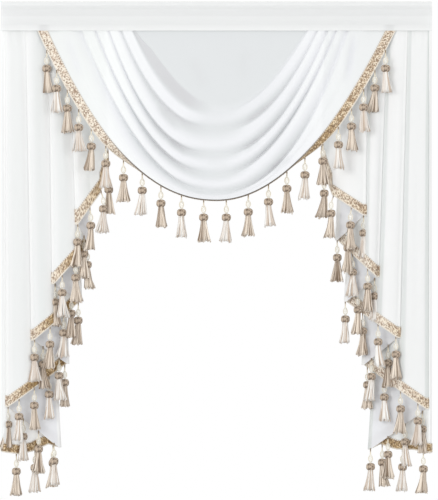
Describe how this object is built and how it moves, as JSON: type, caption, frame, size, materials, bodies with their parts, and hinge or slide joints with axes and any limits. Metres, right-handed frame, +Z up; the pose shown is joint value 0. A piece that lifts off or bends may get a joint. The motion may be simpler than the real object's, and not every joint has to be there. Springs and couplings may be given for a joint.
{
  "type": "swag and tail drape",
  "caption": "Window topper drape: rod pocket header, a sheer swag in cowl folds between pleated tails, with tasselled braid along the hems.",
  "frame": {"origin": "middle of the header's top edge, midway through its thickness", "axes": "+Z up, +X to the viewer's right along the header, front of the drape facing -Y"},
  "size_m": [1.0058, 0.1374, 1.1448],
  "materials": {
    "header_cloth": "matte",
    "swag_cloth": "matte",
    "tail_cloth": "matte",
    "braid_and_yarn": "matte"
  },
  "bodies": {
    "root": {"header": "header_cloth", "swag": "swag_cloth", "tail_left": "tail_cloth", "tail_right": "tail_cloth", "fringe_swag": "braid_and_yarn", "fringe_left": "braid_and_yarn", "fringe_right": "braid_and_yarn"}
  },
  "joints": []
}
